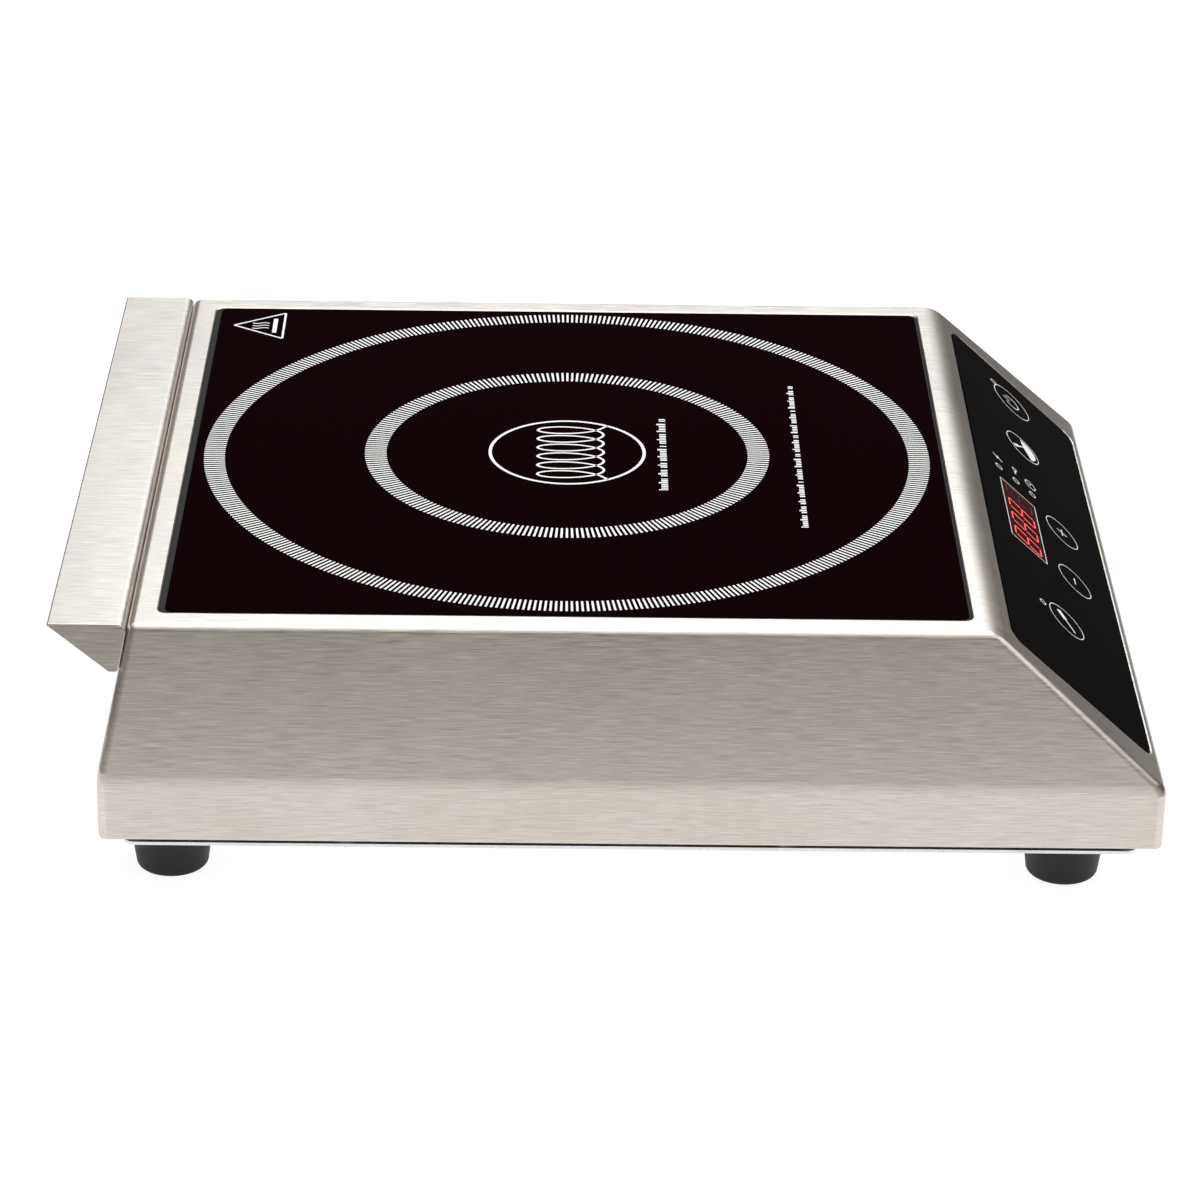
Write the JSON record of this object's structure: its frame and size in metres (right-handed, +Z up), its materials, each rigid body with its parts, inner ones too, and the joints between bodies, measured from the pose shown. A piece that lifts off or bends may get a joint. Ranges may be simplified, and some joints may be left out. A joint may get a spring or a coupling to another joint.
{
  "type": "countertop induction cooker",
  "caption": "Countertop induction cooker: brushed steel housing, flush black cooking glass, sloping touch panel, rear guard and rubber feet, with its coil, fan and boards inside.",
  "frame": {"origin": "on the table, under the middle of the cooker's outline", "axes": "+X to the cook's right, +Y away from the cook towards the rear guard, +Z up"},
  "size_m": [0.32, 0.389, 0.1015],
  "materials": {
    "brushed_steel": "brushed stainless sheet, grain along the long sides",
    "plated_steel": "plain zinc-plated sheet",
    "black_glass": "polished black ceramic glass",
    "control_glass": "polished black glass",
    "grey_silicone": "matt dark grey silicone",
    "white_silicone": "matt white silicone",
    "black_rubber": "matt moulded rubber",
    "zinc_screw": "bright zinc plating",
    "spring_steel": "drawn bright wire",
    "black_plastic": "fine moulded texture",
    "copper_wire": "enamelled copper litz",
    "mica": "pressed mica sheet",
    "ferrite": "sintered ferrite",
    "circuit_board": "solder mask",
    "capacitor_case": "moulded case",
    "terminal_plastic": "moulded terminal block",
    "aluminium": "extruded aluminium",
    "red_lead": "silicone-sleeved wire",
    "grey_cable": "cable sheath",
    "white_print": "fired white enamel print on the glass",
    "display_red": "lit red display segments"
  },
  "bodies": {
    "root": {"top_housing": "brushed_steel", "rear_guard": "brushed_steel", "base_pan": "plated_steel", "coil_bridge": "plated_steel", "glass_top": "black_glass", "control_glass": "control_glass", "glass_seal": "grey_silicone", "control_seal": "grey_silicone", "control_tray": "black_plastic", "control_board": "circuit_board", "display_module": "black_plastic", "cable_gland_body": "black_plastic", "cable_gland_nut": "black_plastic", "cable_gland_locknut": "black_plastic", "coil_carrier": "black_plastic", "induction_coil": "copper_wire", "mica_sheet": "mica", "sensor_spring": "spring_steel", "fan_frame": "black_plastic", "power_board": "circuit_board", "heat_sink": "aluminium", "power_transistor": "black_plastic", "bridge_rectifier": "black_plastic", "filter_capacitor": "capacitor_case", "resonant_capacitor": "capacitor_case", "choke_coil": "copper_wire", "standby_transformer": "black_plastic", "terminal_block": "terminal_plastic", "coil_lead_inner": "red_lead", "coil_lead_outer": "red_lead", "control_cable": "grey_cable", "foot_left_front": "black_rubber", "foot_screw_left_front": "zinc_screw", "base_screw_left_front": "zinc_screw", "foot_left_rear": "black_rubber", "foot_screw_left_rear": "zinc_screw", "base_screw_left_rear": "zinc_screw", "foot_right_front": "black_rubber", "foot_screw_right_front": "zinc_screw", "base_screw_right_front": "zinc_screw", "foot_right_rear": "black_rubber", "foot_screw_right_rear": "zinc_screw", "base_screw_right_rear": "zinc_screw", "guard_screw_left": "zinc_screw", "carrier_screw_left": "zinc_screw", "guard_screw_right": "zinc_screw", "carrier_screw_right": "zinc_screw", "ferrite_bar_1": "ferrite", "ferrite_bar_2": "ferrite", "ferrite_bar_3": "ferrite", "ferrite_bar_4": "ferrite", "ferrite_bar_5": "ferrite", "ferrite_bar_6": "ferrite", "touch_spring_1": "spring_steel", "touch_spring_2": "spring_steel", "touch_spring_3": "spring_steel", "touch_spring_4": "spring_steel", "touch_spring_5": "spring_steel"},
    "fan": {"fan_rotor": "black_plastic"},
    "probe": {"sensor_holder": "white_silicone"}
  },
  "joints": [
    {"name": "fan_spin", "type": "hinge", "parent": "root", "child": "fan", "pos_m": [-0.074, -0.066, 0.0212], "axis": [0, 0, 1], "continuous": true},
    {"name": "probe_plunge", "type": "slide", "parent": "root", "child": "probe", "axis": [0, 0, 1], "range_m": [-0.003, 0], "stiffness_N_per_m": 400, "springref_m": 0.004, "deforming": ["sensor_spring"]}
  ]
}
